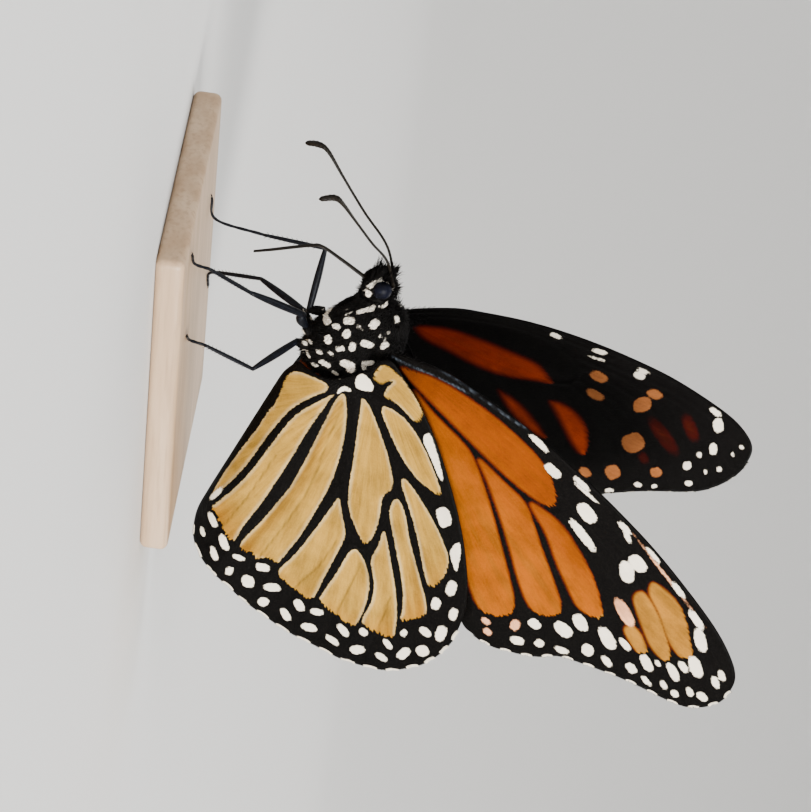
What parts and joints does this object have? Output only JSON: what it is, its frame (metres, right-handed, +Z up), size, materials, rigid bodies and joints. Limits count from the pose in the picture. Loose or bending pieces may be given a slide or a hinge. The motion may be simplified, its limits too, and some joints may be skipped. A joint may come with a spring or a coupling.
{
  "type": "monarch butterfly",
  "caption": "Life-size monarch butterfly standing on its legs with half-raised orange, black-veined wings, uncoiled tongue and forward feelers, on a small flat wooden base",
  "frame": {"origin": "centre of the bounding box's bottom face, level with the surface that the base stands on", "axes": "X runs back toward the butterfly's tail with the head at -X, Y to its right, Z up; the body leans back 14 degrees with its head up"},
  "size_m": [0.0672, 0.0348, 0.0646],
  "materials": {
    "scales_black": "soft black scales and short hair with white spots",
    "eye": "smooth dark compound eye with a bluish gleam",
    "chitin": "smooth black horny skin, slightly glossy",
    "fore_wing": "velvety orange scales with black veins and margin and white spots",
    "hind_wing": "velvety pale orange scales with black veins and margin and white spots",
    "base_wood": "sanded pale wood with a thin satin oil"
  },
  "bodies": {
    "root": {"stand_base": "base_wood", "thorax": "scales_black", "head": "scales_black", "abdomen": "scales_black", "eye_left": "eye", "eye_right": "eye", "palp_left": "scales_black", "palp_right": "scales_black", "proboscis": "chitin", "antenna_left": "chitin", "antenna_right": "chitin", "leg_fore_left": "scales_black", "leg_fore_right": "scales_black", "leg_mid_left": "chitin", "leg_mid_right": "chitin", "leg_hind_left": "chitin", "leg_hind_right": "chitin", "fore_wing_left": "fore_wing", "fore_wing_right": "fore_wing", "hind_wing_left": "hind_wing", "hind_wing_right": "hind_wing"}
  },
  "joints": []
}
